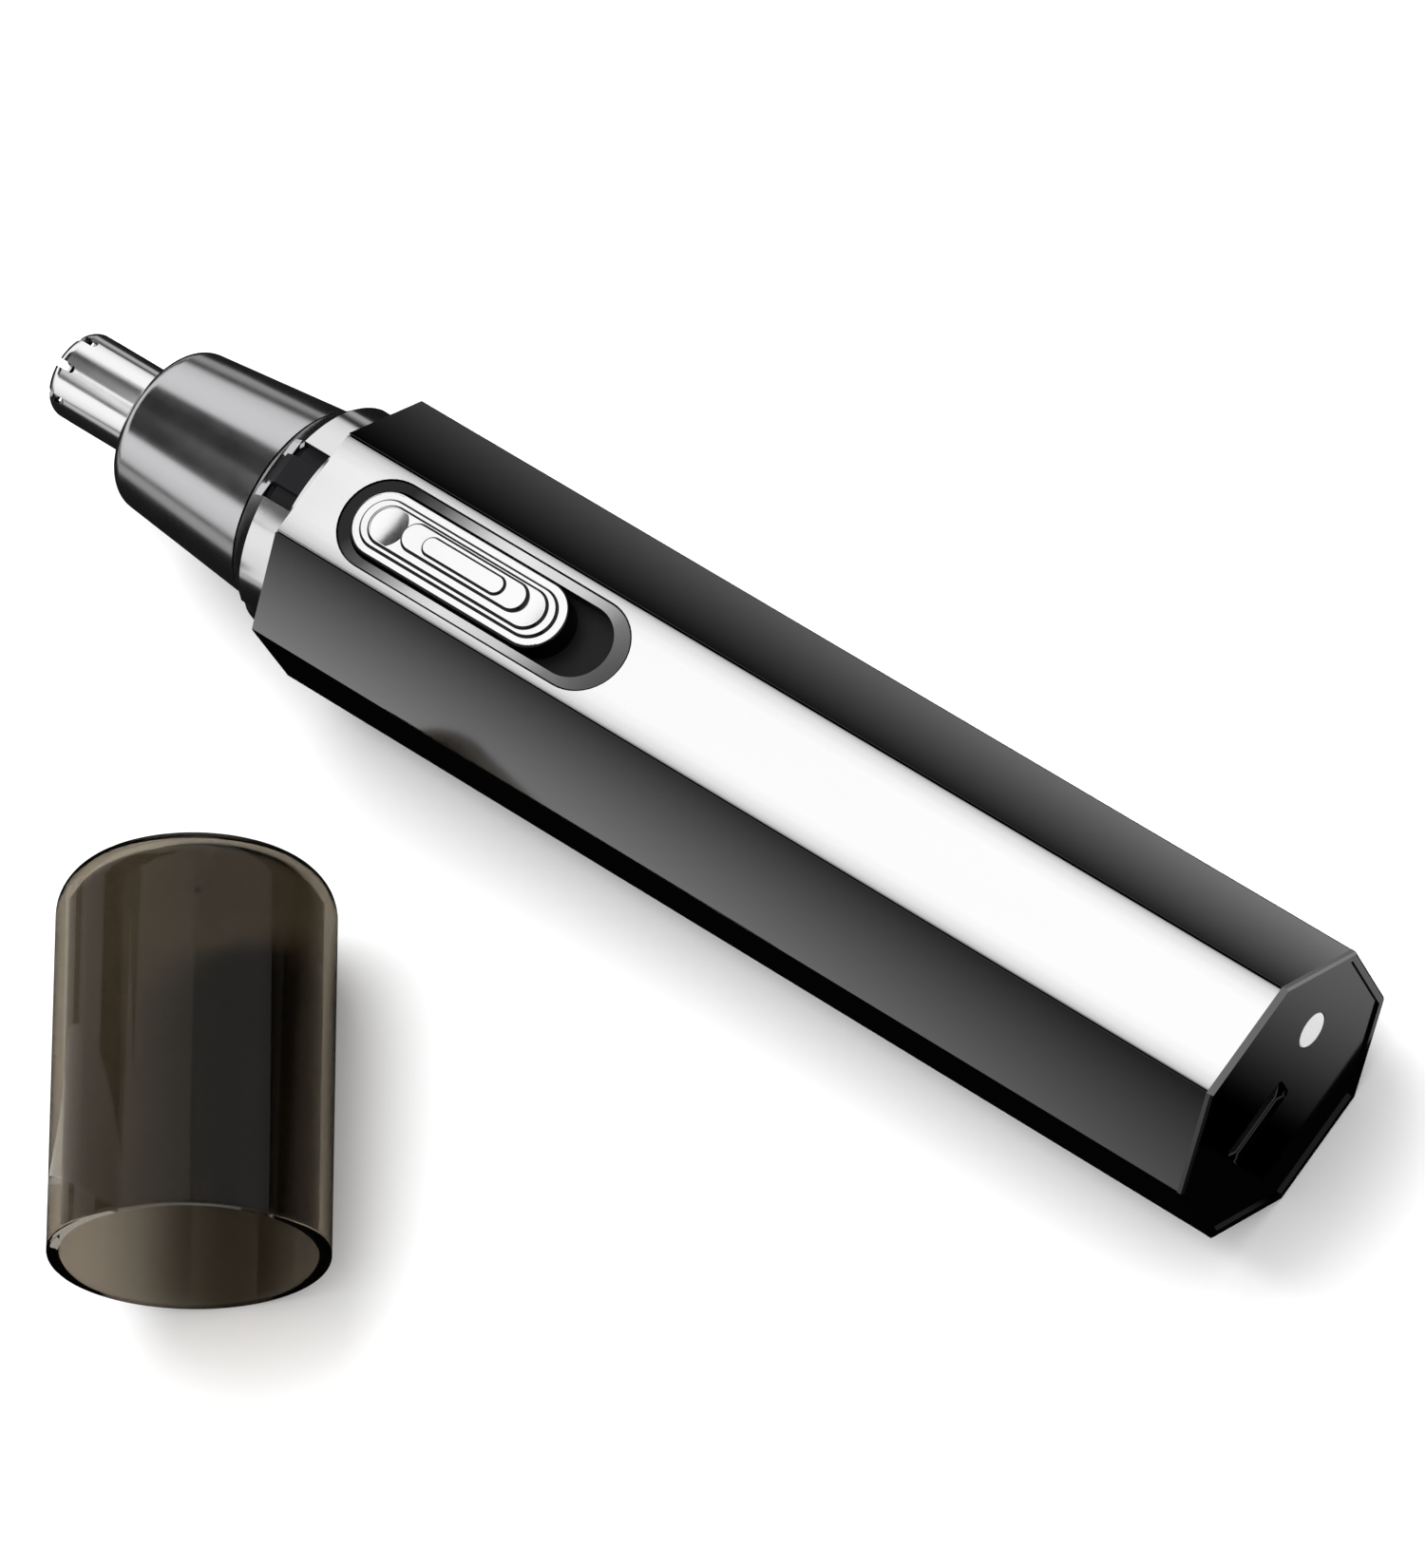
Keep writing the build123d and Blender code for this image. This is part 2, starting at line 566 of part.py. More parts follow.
def charge_wire(side):
    """Lead from the charge board along the battery to the switch board, on one side."""
    low = CHARGE_BOARD_TOP + WIRE_RADIUS
    high = SWITCH_BOARD_TOP + WIRE_RADIUS
    points = [(13.4, 4.4, low), (14.6, 8.0, 2.4), (20, 8.9, 3.4), (54, 8.9, 3.4), (60, 7.0, high + 0.6),
              (63, 4.6, high)]
    return wire([(x, side * y, z) for x, y, z in points], 0.9)


def motor_wire(side):
    """Lead from the switch board down to the motor terminal, on one side."""
    high = SWITCH_BOARD_TOP + WIRE_RADIUS
    x = MOTOR_START - 2.5
    return wire([(x - 2.4, side * 4.4, high), (x, side * 4.4, high), (x, side * 4.4, 0.18)], 0.6)


# ------------------------------------------------------------------ motor
def motor_envelope(x0, x1, grow=0.0):
    """Round motor outline with two flats."""
    flat = MOTOR_FLAT + grow
    return rod(MOTOR_RADIUS + grow, x0, x1) & block(x0, x1, -20, 20, -flat, flat)


def motor_can():
    can = motor_envelope(MOTOR_START, MOTOR_END) - motor_envelope(
        MOTOR_START, MOTOR_END - CAN_WALL, -CAN_WALL
    )
    can -= rod(2.2 + FIT, MOTOR_END - CAN_WALL, MOTOR_END)
    for y in MOTOR_SCREWS:
        can -= rod(0.7, MOTOR_END - CAN_WALL, MOTOR_END, y)
    return can


def motor_bush_front():
    bush = rod(2.2, MOTOR_END - 1.6, MOTOR_END) + rod(BOSS_RADIUS, MOTOR_END, MOTOR_END + 1.4)
    return bush - rod(SHAFT_RADIUS + RUNNING, MOTOR_END - 2, MOTOR_END + 2)


def motor_bush_rear():
    return ring(1.6, SHAFT_RADIUS + RUNNING, MOTOR_START - 1.4, MOTOR_START + 0.2)


def motor_end_bell():
    bell = motor_envelope(MOTOR_START - 1.6, MOTOR_START)
    bell += motor_envelope(MOTOR_START, MOTOR_START + 1.4, -CAN_WALL - FIT)
    bell -= motor_envelope(MOTOR_START + 0.2, MOTOR_START + 1.4, -CAN_WALL - 1.2)
    bell -= rod(1.6 + FIT, MOTOR_START - 1.4, MOTOR_START + 0.2)
    for y in (-4.4, 4.4):
        bell -= block(MOTOR_START - 2, MOTOR_START + 0.3, y - 1.1, y + 1.1, -0.2, 0.2)
    return bell


def motor_terminals():
    made = []
    for y in (-4.4, 4.4):
        tab = block(MOTOR_START - 3.0, MOTOR_START + 0.3, y - 0.9, y + 0.9, -0.15, 0.15)
        made.append(tab - post(0.4, MOTOR_START - 2.3, y, -1, 1))
    return Compound(children=made)


def motor_brushes():
    """Leaf brushes that press on the commutator from both sides."""
    made = []
    for side in (-1, 1):
        y0, y1 = sorted((side * (COMMUTATOR_RADIUS + 0.06), side * (COMMUTATOR_RADIUS + 0.36)))
        leaf = block(MOTOR_START + 0.8, MOTOR_START + 2.0, y0, y1, -3.2, 3.2)
        made.append(leaf)
    return Compound(children=made)


def motor_commutator():
    barrel = ring(COMMUTATOR_RADIUS, SHAFT_RADIUS + FIT, MOTOR_START + 0.5, MOTOR_START + 2.4)
    gap = block(MOTOR_START, MOTOR_START + 2.1, -0.12, 0.12, SHAFT_RADIUS + 0.5, 3)
    for i in range(3):
        barrel -= Rot(120 * i, 0, 0) * gap
    return barrel


def motor_magnets():
    x0, x1 = MOTOR_START + 3.0, MOTOR_END - 2.2
    shape = ring(MOTOR_RADIUS - CAN_WALL - FIT, 5.55, x0, x1)
    return Compound(
        children=[shape & block(x0, x1, 0, 10, -4.2, 4.2), shape & block(x0, x1, -10, 0, -4.2, 4.2)]
    )


def motor_armature():
    """Three-pole laminated stack."""
    x0, x1 = MOTOR_START + 3.6, MOTOR_END - 2.8
    stack = ring(5.0, SHAFT_RADIUS + FIT, x0, x1)
    pocket = rod(1.5, x0, x1, 0, 3.0) + block(x0, x1, -0.35, 0.35, 3.0, 6)
    for i in range(3):
        stack -= Rot(60 + 120 * i, 0, 0) * pocket
    return stack


def motor_windings():
    """Three copper coils laid in the armature slots."""
    x0, x1 = MOTOR_START + 3.6, MOTOR_END - 2.8
    coil = rod(1.35, x0 - 0.6, x1 + 0.6, 0, 3.0)
    coil = fillet(coil.edges(), 0.5)
    return Compound(children=[Rot(60 + 120 * i, 0, 0) * coil for i in range(3)])


def motor_shaft():
    shaft = rod(SHAFT_RADIUS, MOTOR_START - 1.2, COUPLING_START + 5.0)
    return chamfer(shaft.edges(), 0.15)


def motor_screws():
    made = []
    for y in MOTOR_SCREWS:
        one = screw(0, 0, 0, 2.0, 0.65, 1.2, 0.7)
        made.append(Pos(CHASSIS_END, y, 0) * Rot(0, 90, 0) * one)
    return Compound(children=made)


def drive_coupling():
    """Pressed on the motor shaft; its flat key turns the cutter spindle."""
    hub = rod(2.6, COUPLING_START, COUPLING_START + 5.0) + rod(1.7, COUPLING_START + 5.0, KEY_START)
    hub = fillet(hub.edges().group_by(Axis.X)[0], 0.3)
    key = block(KEY_START, KEY_END, -KEY_WIDTH / 2, KEY_WIDTH / 2, -KEY_THICK / 2, KEY_THICK / 2)
    key &= rod(1.7, KEY_START, KEY_END)
    return hub + key - rod(SHAFT_RADIUS + FIT, COUPLING_START, COUPLING_START + 5.05)


# ------------------------------------------------------------------ cutting head
def head_cone():
    outer = turned(
        (CONE_START, 0), (CONE_START, CONE_REAR_RADIUS), (CONE_END, CONE_FRONT_RADIUS), (CONE_END, 0)
    )
    outer = fillet(outer.edges().group_by(Axis.X)[-1], CONE_ROUND)
    outer += rod(SPIGOT_RADIUS, SPIGOT_START, CONE_START)
    hollow = turned(
        (SPIGOT_START, 0),
        (SPIGOT_START, HEAD_REAR_BORE),
        (CONE_START + 3.0, HEAD_REAR_BORE),
        (HEAD_BORE_START, HEAD_BORE),
        (FRONT_FACE, HEAD_BORE),
        (FRONT_FACE, 0),
    )
    cone = outer - hollow - rod(GUARD_RADIUS + FIT, FRONT_FACE, CONE_END)
    groove = ring(SPIGOT_RADIUS + 1, SPIGOT_RADIUS - 0.7, SEAL_X - 0.55, SEAL_X + 0.55)
    return cone - groove


def head_seal():
    return Pos(SEAL_X, 0, 0) * Rot(0, 90, 0) * Torus(SPIGOT_RADIUS - 0.32, 0.36)


def cutter_guard():
    """Fixed steel tube with a slotted, rounded end; hair goes in through the slots."""
    start = FRONT_FACE - 0.9
    tube = rod(GUARD_RADIUS, start, TIP)
    tube = fillet(tube.edges().group_by(Axis.X)[-1], GUARD_ROUND)
    bore = rod(GUARD_RADIUS - GUARD_WALL, start, TIP - GUARD_WALL)
    bore = fillet(bore.edges().group_by(Axis.X)[-1], GUARD_ROUND - GUARD_WALL)
    tube = tube + rod(GUARD_FLANGE, start, FRONT_FACE) - bore
    slot_start = TIP - GUARD_SLOT_LENGTH
    half = GUARD_SLOT_WIDTH / 2
    slot = block(slot_start, TIP + 1, -half, half, 1.3, GUARD_RADIUS + 1)
    slot += post(half, slot_start, 0, 1.3, GUARD_RADIUS + 1)
    for i in range(GUARD_SLOTS):
        tube -= Rot(-GUARD_SLOT_TURN + 360 * i / GUARD_SLOTS, 0, 0) * slot
    return tube


def guard_retainer():
    """Plastic ring pressed in behind the guard's flange; also the spindle's front bearing."""
    start = HEAD_BORE_START + 1.0
    end = FRONT_FACE - 0.9
    hoop = ring(HEAD_BORE - FIT, 4.3, start, end)
    web = ring(5.0, SPINDLE_RADIUS + RUNNING, start, start + 1.6)
    return hoop + web


def spindle_retainer():
    """Disc snapped into the head's rear that keeps the spindle and spring in."""
    disc = ring(HEAD_REAR_BORE - FIT, SOCKET_RADIUS + 0.08, RETAINER_START, RETAINER_START + 1.6)
    vent = rod(0.8, RETAINER_START, RETAINER_START + 1.6, 0, 4.8)
    for i in range(6):
        disc -= Rot(60 * i, 0, 0) * vent
    return disc


def cutter_spring():
    """Open coil that presses the blade against the end of the guard."""
    length = SPRING_END - SPRING_START - 2 * SPRING_WIRE - 0.1
    path = Helix(pitch=length / SPRING_TURNS, height=length, radius=SPRING_RADIUS)
    coil = sweep((path ^ 0) * Circle(SPRING_WIRE), path=path, is_frenet=True)
    return Pos(SPRING_START + SPRING_WIRE + 0.05, 0, 0) * Rot(0, 90, 0) * coil


def cutter_spindle():
    stem = rod(SOCKET_RADIUS, SPINDLE_START, KEY_END + 1.2)
    stem += rod(SPINDLE_RADIUS, KEY_END + 1.2, BLADE_START + 2.0)
    stem += rod(3.7, SPRING_END, SPRING_END + 1.0)
    socket = block(
        SPINDLE_START, KEY_END + 0.4, -KEY_WIDTH / 2 - 0.15, KEY_WIDTH / 2 + 0.15,
        -KEY_THICK / 2 - 0.12, KEY_THICK / 2 + 0.12,
    )
    mouth = rod(1.85, SPINDLE_START, KEY_START + 0.1)
    return stem - (socket & rod(1.85, SPINDLE_START, KEY_END + 1)) - mouth


def cutter_blade():
    """Two crossed U-shaped blades on a hub."""
    end = TIP - GUARD_WALL - 0.12
    prong = Polyline(
        (BLADE_START, -2.4), (BLADE_START + 1.5, -BLADE_RADIUS), (end - 1.1, -BLADE_RADIUS),
        (end, -BLADE_RADIUS + 1.1), (end, -1.5), (end - 1.0, -1.1), (BLADE_START + 4.0, -1.1),
        (BLADE_START + 4.0, 1.1), (end - 1.0, 1.1), (end, 1.5), (end, BLADE_RADIUS - 1.1),
        (end - 1.1, BLADE_RADIUS), (BLADE_START + 1.5, BLADE_RADIUS), (BLADE_START, 2.4), close=True,
    )
    flat = extrude(Pos(0, 0, -BLADE_THICK / 2) * make_face(prong), amount=BLADE_THICK)
    hub = rod(2.5, BLADE_START, BLADE_START + 2.4)
    blade = hub + flat + Rot(90, 0, 0) * flat
    return blade - rod(SPINDLE_RADIUS + FIT, BLADE_START, BLADE_START + 2.02)


# ------------------------------------------------------------------ dust cap
def dust_cap():
    """Clear cup drawn standing on its mouth, then laid on its side beside the trimmer."""
    cup = Cylinder(DUST_CAP_RADIUS, DUST_CAP_LENGTH, align=(Align.CENTER, Align.CENTER, Align.MIN))
    cup = fillet(cup.edges().group_by(Axis.Z)[-1], DUST_CAP_ROUND)
    hollow = Cylinder(
        DUST_CAP_BORE, DUST_CAP_LENGTH - DUST_CAP_WALL, align=(Align.CENTER, Align.CENTER, Align.MIN)
    )
    hollow = fillet(hollow.edges().group_by(Axis.Z)[-1], DUST_CAP_ROUND - DUST_CAP_WALL)
    cup -= hollow
    cup = fillet(cup.edges().group_by(Axis.Z)[0], 0.3)
    pip = Cone(0.3, DUST_CAP_PIP, 1.0, align=(Align.CENTER, Align.CENTER, Align.MAX))
    cup += Pos(0, 0, DUST_CAP_LENGTH - DUST_CAP_WALL + 0.1) * pip
    x, y = DUST_CAP_PLACE
    lying = Rot(0, 0, DUST_CAP_TURN) * Rot(0, 90, 0) * Pos(0, 0, -DUST_CAP_LENGTH / 2) * cup
    return Pos(x, y, DUST_CAP_RADIUS) * lying


# ------------------------------------------------------------------ export
def export(name, shape):
    export_step(shape, f"parts/{name}.step")


def main():
    os.makedirs("parts", exist_ok=True)
    makers = [
        housing, front_plate, switch_bezel, base_cap, led_window, neck_ring, neck_sleeve,
        switch_button, switch_carriage, switch_actuator, slide_switch, switch_board, board_screws,
        slider_guide, guide_screws, chassis, battery_cell, battery_button, battery_tabs,
        charge_board, charge_parts, usb_shell, usb_tongue, charge_led,
        motor_can, motor_bush_front, motor_bush_rear, motor_end_bell, motor_terminals,
        motor_brushes, motor_commutator, motor_magnets, motor_armature, motor_windings,
        motor_shaft, motor_screws, drive_coupling,
        head_cone, head_seal, cutter_guard, guard_retainer, spindle_retainer, cutter_spring,
        cutter_spindle, cutter_blade,
    ]
    for make in makers:
        export(make.__name__, REST * make())
    for pole, side in (("positive", 1), ("negative", -1)):
        export(f"charge_wire_{pole}", REST * charge_wire(side))
        export(f"motor_wire_{pole}", REST * motor_wire(side))
    export("dust_cap", dust_cap())


main()
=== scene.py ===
import json
import math

import bpy
from mathutils import Matrix, Vector


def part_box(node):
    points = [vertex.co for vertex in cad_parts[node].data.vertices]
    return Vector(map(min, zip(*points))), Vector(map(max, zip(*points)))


# Studio picture of the nose hair trimmer and its loose cap.  Lengths are in metres, in the frame
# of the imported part: +X towards the cutting tip, +Z up, the surface it lies on at z = 0.

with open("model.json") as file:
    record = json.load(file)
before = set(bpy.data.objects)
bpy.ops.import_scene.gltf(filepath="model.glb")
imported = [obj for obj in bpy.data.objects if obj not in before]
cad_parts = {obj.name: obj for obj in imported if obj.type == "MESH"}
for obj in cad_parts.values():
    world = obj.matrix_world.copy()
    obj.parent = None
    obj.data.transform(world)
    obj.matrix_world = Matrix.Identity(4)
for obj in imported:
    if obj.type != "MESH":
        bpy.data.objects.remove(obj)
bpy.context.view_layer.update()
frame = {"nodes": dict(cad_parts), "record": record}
NODES = frame["nodes"]
MM = 0.001

tube_low, tube_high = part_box("housing")
head_low, head_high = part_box("head_cone")
AXIS_Z = (head_low.z + head_high.z) / 2
BODY_MIDDLE = Vector(((tube_low.x + tube_high.x) / 2, 0, AXIS_Z))
FACET_START, FACET_END = 5.4 * MM, tube_high.y  # edge of the front facet, side of the body
# Painted shade: the face plate's grey fall along its long edges.
PLATE_PAINTED_FALL = (2.8 * MM, 5.3 * MM)  # where the face plate turns grey, from its middle line
# Painted reflections on the bezel follow this run.
BEZEL_PAINTED_RUN = (16.5 * MM, 44.5 * MM)  # the bezel's shading, along the body
GUARD_RADIUS = 4.1 * MM


# ------------------------------------------------------------------ camera
CAMERA_AZIMUTH = math.radians(249.61)
CAMERA_ELEVATION = math.radians(60.34)
CAMERA_ROLL = math.radians(35.83)
CAMERA_DISTANCE = 0.9524
CAMERA_AIM = BODY_MIDDLE + Vector((8.6, 2.3, 0)) * MM
CAMERA_LENS = 257.5
CAMERA_SENSOR = 36

# The surroundings' brightness, as (share of the way up from the horizon, level).
SKY = ((0.0, 0.01), (0.02, 0.5), (0.08, 0.85), (0.35, 1.02), (1.0, 1.04))
FLOOR_SIZE = (6, 6)


def make_camera():
    data = bpy.data.cameras.new("camera")
    data.lens = CAMERA_LENS
    data.sensor_width = CAMERA_SENSOR
    data.clip_start = 0.01
    data.clip_end = 50
    camera = bpy.data.objects.new("camera", data)
    bpy.context.scene.collection.objects.link(camera)
    flat = math.cos(CAMERA_ELEVATION)
    away = Vector((
        math.sin(CAMERA_AZIMUTH) * flat,
        -math.cos(CAMERA_AZIMUTH) * flat,
        math.sin(CAMERA_ELEVATION),
    ))
    turn = away.to_track_quat("Z", "Y").to_matrix().to_4x4()
    roll = Matrix.Rotation(-CAMERA_ROLL, 4, "Z")
    camera.matrix_world = Matrix.Translation(CAMERA_AIM + away * CAMERA_DISTANCE) @ turn @ roll
    bpy.context.scene.camera = camera


# ------------------------------------------------------------------ node helpers
class Shader:
    """A Principled material that is put together a few nodes at a time."""

    def __init__(self, name, color, roughness, metallic=0.0, **sockets):
        self.material = bpy.data.materials.new(name)
        self.material.use_nodes = True
        self.tree = self.material.node_tree
        self.bsdf = self.tree.nodes["Principled BSDF"]
        self.bsdf.inputs["Base Color"].default_value = (*color, 1)
        self.bsdf.inputs["Roughness"].default_value = roughness
        self.bsdf.inputs["Metallic"].default_value = metallic
        for socket, value in sockets.items():
            self.bsdf.inputs[socket.replace("_", " ")].default_value = value
        self.color = color
        self.roughness = roughness

    def node(self, kind, **values):
        made = self.tree.nodes.new(kind)
        for key, value in values.items():
            setattr(made, key, value)
        return made

    def link(self, source, target):
        self.tree.links.new(source, target)

    def place(self, scale=(1, 1, 1)):
        """Coordinates of the row frame, stretched by scale."""
        coordinates = self.node("ShaderNodeTexCoord")
        mapping = self.node("ShaderNodeMapping")
        mapping.inputs["Scale"].default_value = scale
        self.link(coordinates.outputs["Object"], mapping.inputs["Vector"])
        return mapping.outputs["Vector"]

    def axis(self, letter, source="Object"):
        """One component of the row-frame position, or of the surface's own normal."""
        coordinates = self.node("ShaderNodeTexCoord")
        split = self.node("ShaderNodeSeparateXYZ")
        self.link(coordinates.outputs[source], split.inputs["Vector"])
        return split.outputs[letter]

    def math(self, operation, first, second=0.0):
        made = self.node("ShaderNodeMath", operation=operation)
        for socket, value in zip(made.inputs, (first, second)):
            if isinstance(value, bpy.types.NodeSocket):
                self.link(value, socket)
            else:
                socket.default_value = value
        return made.outputs[0]

    def grey_ramp(self, source, low, high, stops):
        """Grey levels, as (share of low..high, level), that follow source."""
        made = self.node("ShaderNodeValToRGB")
        elements = made.color_ramp.elements
        for index, (position, level) in enumerate(stops):
            stop = elements[index] if index < 2 else elements.new(position)
            stop.position = position
            stop.color = (level, level, level, 1)
        self.link(self.ramp(source, low, high, 0, 1), made.inputs["Fac"])
        return made.outputs["Color"]

    def paint(self, value):
        self.link(value, self.bsdf.inputs["Base Color"])
        return self

    def noise(self, scale, stretch=(1, 1, 1), detail=4):
        texture = self.node("ShaderNodeTexNoise")
        texture.inputs["Scale"].default_value = scale
        texture.inputs["Detail"].default_value = detail
        self.link(self.place(stretch), texture.inputs["Vector"])
        return texture.outputs["Fac"]

    def ramp(self, source, low, high, out_low, out_high):
        """Linear map of source from low..high to out_low..out_high."""
        mapped = self.node("ShaderNodeMapRange")
        for key, value in (("From Min", low), ("From Max", high), ("To Min", out_low), ("To Max", out_high)):
            mapped.inputs[key].default_value = value
        self.link(source, mapped.inputs["Value"])
        return mapped.outputs["Result"]

    def vary_roughness(self, scale, spread, stretch=(1, 1, 1)):
        """Uneven gloss, as handling and moulding leave it."""
        noise = self.noise(scale, stretch)
        value = self.ramp(noise, 0.3, 0.7, self.roughness - spread, self.roughness + spread)
        self.link(value, self.bsdf.inputs["Roughness"])
        return self

    def vary_color(self, scale, spread, stretch=(1, 1, 1)):
        noise = self.noise(scale, stretch)
        mix = self.node("ShaderNodeMix", data_type="RGBA")
        mix.inputs[6].default_value = (*[c * (1 - spread) for c in self.color], 1)
        mix.inputs[7].default_value = (*[min(1, c * (1 + spread)) for c in self.color], 1)
        self.link(self.ramp(noise, 0.3, 0.7, 0, 1), mix.inputs[0])
        self.link(mix.outputs[2], self.bsdf.inputs["Base Color"])
        return self

    def bump(self, scale, depth, stretch=(1, 1, 1), strength=0.2):
        noise = self.noise(scale, stretch, 2)
        bump = self.node("ShaderNodeBump")
        bump.inputs["Distance"].default_value = depth
        bump.inputs["Strength"].default_value = strength
        self.link(noise, bump.inputs["Height"])
        self.link(bump.outputs["Normal"], self.bsdf.inputs["Normal"])
        return self


# ------------------------------------------------------------------ materials
def lacquer(name, color, roughness=0.08):
    """Dark plated lacquer: a black mirror a little softened."""
    made = Shader(name, (color,) * 3, roughness, 1.0, Specular_Tint=(0.25, 0.25, 0.25, 1))
    return made.vary_roughness(60, 0.01)


def painted_sheen_lacquer(name):
    """Lacquer with a painted sheen: lighter towards the corners between the facets, standing in for brighter
    reflections there.
    """
    made = lacquer(name, 0.13)
    from_middle = made.math("ABSOLUTE", made.axis("Y"))
    # painted sheen: the colour rises with distance from the front facet
    edge = made.ramp(from_middle, FACET_START, FACET_END, 0.035, 0.2)
    return made.paint(edge).material


def paint_wall_shade(made, level, wall_shade=0.02):
    """Painted shade: level on faces that look up, darkened to the last argument on the walls below them."""
    up = made.ramp(made.axis("Z", "Normal"), 0.35, 0.7, 0, 1)
    return made.math("MAXIMUM", made.math("MULTIPLY", up, level), wall_shade)


def face_plate(name):
    """Satin silver with painted shade: it falls off to grey along both long edges, and its cut walls are
    painted dark.
    """
    made = Shader(name, (0.93,) * 3, 0.2, 1.0).vary_roughness(220, 0.02, (0.2, 1, 1))
    from_middle = made.math("ABSOLUTE", made.axis("Y"))
    stops = ((0.0, 0.95), (0.35, 0.88), (0.7, 0.72), (0.86, 0.55), (1.0, 0.12))
    painted_fall = made.grey_ramp(from_middle, *PLATE_PAINTED_FALL, stops)
    return made.paint(paint_wall_shade(made, painted_fall)).material


def thumb_pad(name):
    """Silver paint with painted shade, dark where a step falls away, left out on the side towards the light.
    """
    made = Shader(name, (0.95,) * 3, 0.16, 1.0).vary_roughness(220, 0.02)
    lit = made.math("MAXIMUM", made.math("MULTIPLY", made.axis("Y", "Normal"), -1.0), 0.0)
    flat = made.math("ADD", made.axis("Z", "Normal"), made.math("MULTIPLY", lit, 0.3))
    stops = ((0.0, 0.02), (0.5, 0.06), (0.85, 0.9), (1.0, 0.95))
    return made.paint(made.grey_ramp(flat, 0.88, 1.0, stops)).material


def bezel(name):
    """Plated ring with painted reflections, light along its sides and dark round both ends, and painted
    shade on its walls.
    """
    made = Shader(name, (0.5,) * 3, 0.16, 1.0).vary_roughness(200, 0.02)
    along = made.math("SUBTRACT", made.axis("X"), made.math("MULTIPLY", made.axis("Y"), 0.45))
    stops = (
        (0.0, 0.12), (0.14, 0.2), (0.32, 0.6), (0.57, 0.8),
        (0.68, 0.65), (0.79, 0.33), (0.89, 0.1), (1.0, 0.025),
    )
    return made.paint(paint_wall_shade(made, made.grey_ramp(along, *BEZEL_PAINTED_RUN, stops), 0.01)).material


def plastic(name, color, roughness=0.45, shine=0.3):
    made = Shader(name, color, roughness, 0.0, Specular_IOR_Level=shine)
    return made.vary_color(40, 0.06).vary_roughness(90, 0.03).bump(2500, 0.00001, (1, 1, 1), 0.1).material


def metal(name, color, roughness, stretch=(1, 1, 1)):
    made = Shader(name, color, roughness, 1.0)
    return made.vary_roughness(300, 0.015, stretch).material


def guard_steel(name):
    """Polished tube with painted shade: its bore, which faces its own axis, is painted dark."""
    made = Shader(name, (0.9,) * 3, 0.15, 1.0).vary_roughness(300, 0.015)
    across = made.math("MULTIPLY", made.axis("Y"), made.axis("Y", "Normal"))
    height = made.math("SUBTRACT", made.axis("Z"), AXIS_Z)
    upward = made.math("MULTIPLY", height, made.axis("Z", "Normal"))
    outward = made.math("DIVIDE", made.math("ADD", across, upward), GUARD_RADIUS)
    stops = ((0.0, 0.01), (0.3, 0.02), (0.5, 0.85), (1.0, 0.9))
    return made.paint(made.grey_ramp(outward, -0.5, 0.5, stops)).material


def smoke_clear(name):
    made = Shader(
        name, (0.17, 0.145, 0.11), 0.03, 0.0, Transmission_Weight=1.0, IOR=1.25, Specular_IOR_Level=0.5
    )
    return made.vary_roughness(30, 0.01).material


MATERIALS = {
    "black_gloss": painted_sheen_lacquer("black_lacquer"),
    "silver_plate": face_plate("silver_plate"),
    "bezel_grey": bezel("bezel_grey"),
    "button_silver": thumb_pad("button_silver"),
    "panel_black": lacquer("panel_black", 0.14, 0.1).material,
    "lamp_white": plastic("lamp_white", (0.65, 0.65, 0.65), 0.3),
    "neck_gloss": metal("neck_gloss", (0.74, 0.74, 0.75), 0.12),
    "neck_dark": plastic("neck_dark", (0.008, 0.008, 0.009), 0.3, 0.12),
    "gunmetal": metal("gunmetal", (0.56, 0.56, 0.57), 0.19),
    "polished_steel": guard_steel("polished_steel"),
    "steel": metal("plain_steel", (0.2, 0.2, 0.21), 0.35),
    "smoke_clear": smoke_clear("smoke_clear"),
    "black_plastic": plastic("black_plastic", (0.008, 0.008, 0.0085), 0.4, 0.1),
    "white_plastic": plastic("white_plastic", (0.78, 0.77, 0.74)),
    "battery_wrap": plastic("battery_wrap", (0.05, 0.18, 0.38), 0.25),
    "nickel": metal("nickel", (0.66, 0.62, 0.56), 0.25),
    "board_green": plastic("board_green", (0.02, 0.13, 0.05), 0.3),
    "magnet": plastic("magnet", (0.06, 0.06, 0.07), 0.5),
    "copper": metal("copper", (0.75, 0.38, 0.2), 0.3),
    "bronze": metal("bronze", (0.6, 0.42, 0.2), 0.4),
    "seal_rubber": plastic("seal_rubber", (0.015, 0.015, 0.015), 0.7),
    "wire_red": plastic("wire_red", (0.5, 0.02, 0.02), 0.4),
    "wire_black": plastic("wire_black", (0.015, 0.015, 0.015), 0.4),
}


def dress_nodes():
    for part in frame["record"]["subparts"]:
        node = NODES[part["node"]]
        node.data.materials.clear()
        node.data.materials.append(MATERIALS[part["material_slot"]])


# ------------------------------------------------------------------ studio
def plane(name, middle, size, material):
    half_x, half_y = size[0] / 2, size[1] / 2
    mesh = bpy.data.meshes.new(name)
    corners = [(-half_x, -half_y, 0), (half_x, -half_y, 0), (half_x, half_y, 0), (-half_x, half_y, 0)]
    mesh.from_pydata(corners, [], [(0, 1, 2, 3)])
    mesh.materials.append(material)
    made = bpy.data.objects.new(name, mesh)
    made.location = middle
    bpy.context.scene.collection.objects.link(made)
    return made


